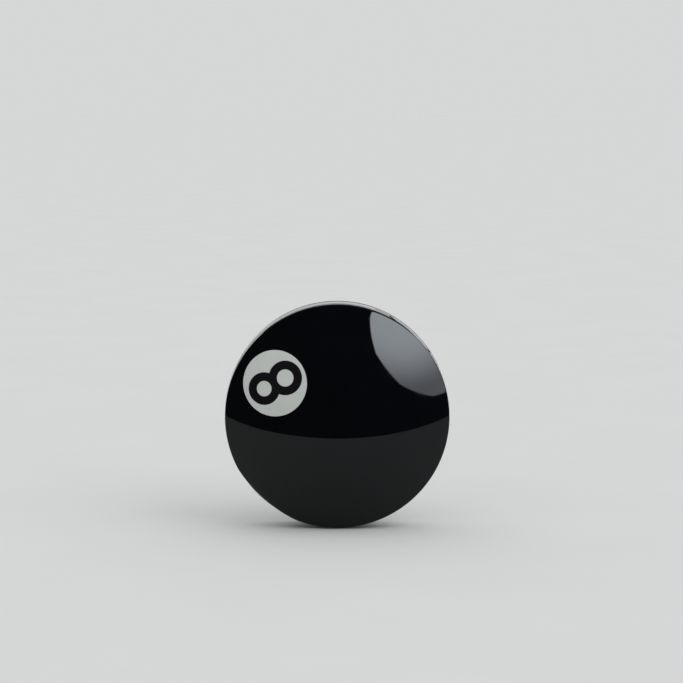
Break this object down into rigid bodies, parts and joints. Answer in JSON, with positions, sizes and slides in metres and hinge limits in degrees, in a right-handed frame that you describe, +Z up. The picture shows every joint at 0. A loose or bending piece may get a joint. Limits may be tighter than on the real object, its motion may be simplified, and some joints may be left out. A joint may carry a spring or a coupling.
{
  "type": "round compact case",
  "caption": "Round hinged compact case with a glossy domed lid marked as a number 8 pool ball, a mirror inside the lid and a powder pan with a puff in the base.",
  "frame": {"origin": "on the surface the case stands on, under the middle of its depth, at the lowest point of its rim", "axes": "+X right as seen from the front, -Y out of the domed face, +Z up; the case stands on its edge"},
  "size_m": [0.0706, 0.024, 0.0706],
  "materials": {
    "black_gloss": "high gloss black with a clear coat",
    "white_print": "white print under the clear coat",
    "black_print": "black print under the clear coat",
    "inner_plastic": "satin moulded",
    "mirror_glass": "polished",
    "foam_tape": "closed-cell foam",
    "magnet_metal": "nickel plated",
    "bumper_rubber": "soft clear",
    "pale_band": "moulded satin gloss",
    "tinned_pan": "tinned",
    "pressed_powder": "pressed powder, soft matte",
    "puff_velour": "short velour pile",
    "satin_ribbon": "satin weave",
    "pin_steel": "drawn wire"
  },
  "bodies": {
    "base": {"base_shell": "black_gloss", "rim_band": "pale_band", "thumb_catch": "pale_band", "base_frame": "inner_plastic", "powder_pan": "tinned_pan", "pan_pad": "foam_tape", "powder_cake": "pressed_powder", "powder_puff": "puff_velour", "puff_ribbon": "satin_ribbon", "base_magnets": "magnet_metal", "hinge_pin": "pin_steel"},
    "lid": {"lid_shell": "black_gloss", "number_spot": "white_print", "numeral_eight": "black_print", "mirror_frame": "inner_plastic", "mirror": "mirror_glass", "mirror_tape": "foam_tape", "mirror_backing": "inner_plastic", "lid_magnets": "magnet_metal", "lid_bumpers": "bumper_rubber"}
  },
  "joints": [
    {"name": "lid_hinge", "type": "hinge", "parent": "base", "child": "lid", "pos_m": [0.02201, 0.00564, 0.05975], "axis": [-0.7431, 0, 0.6691], "range_deg": [0, 100]}
  ]
}
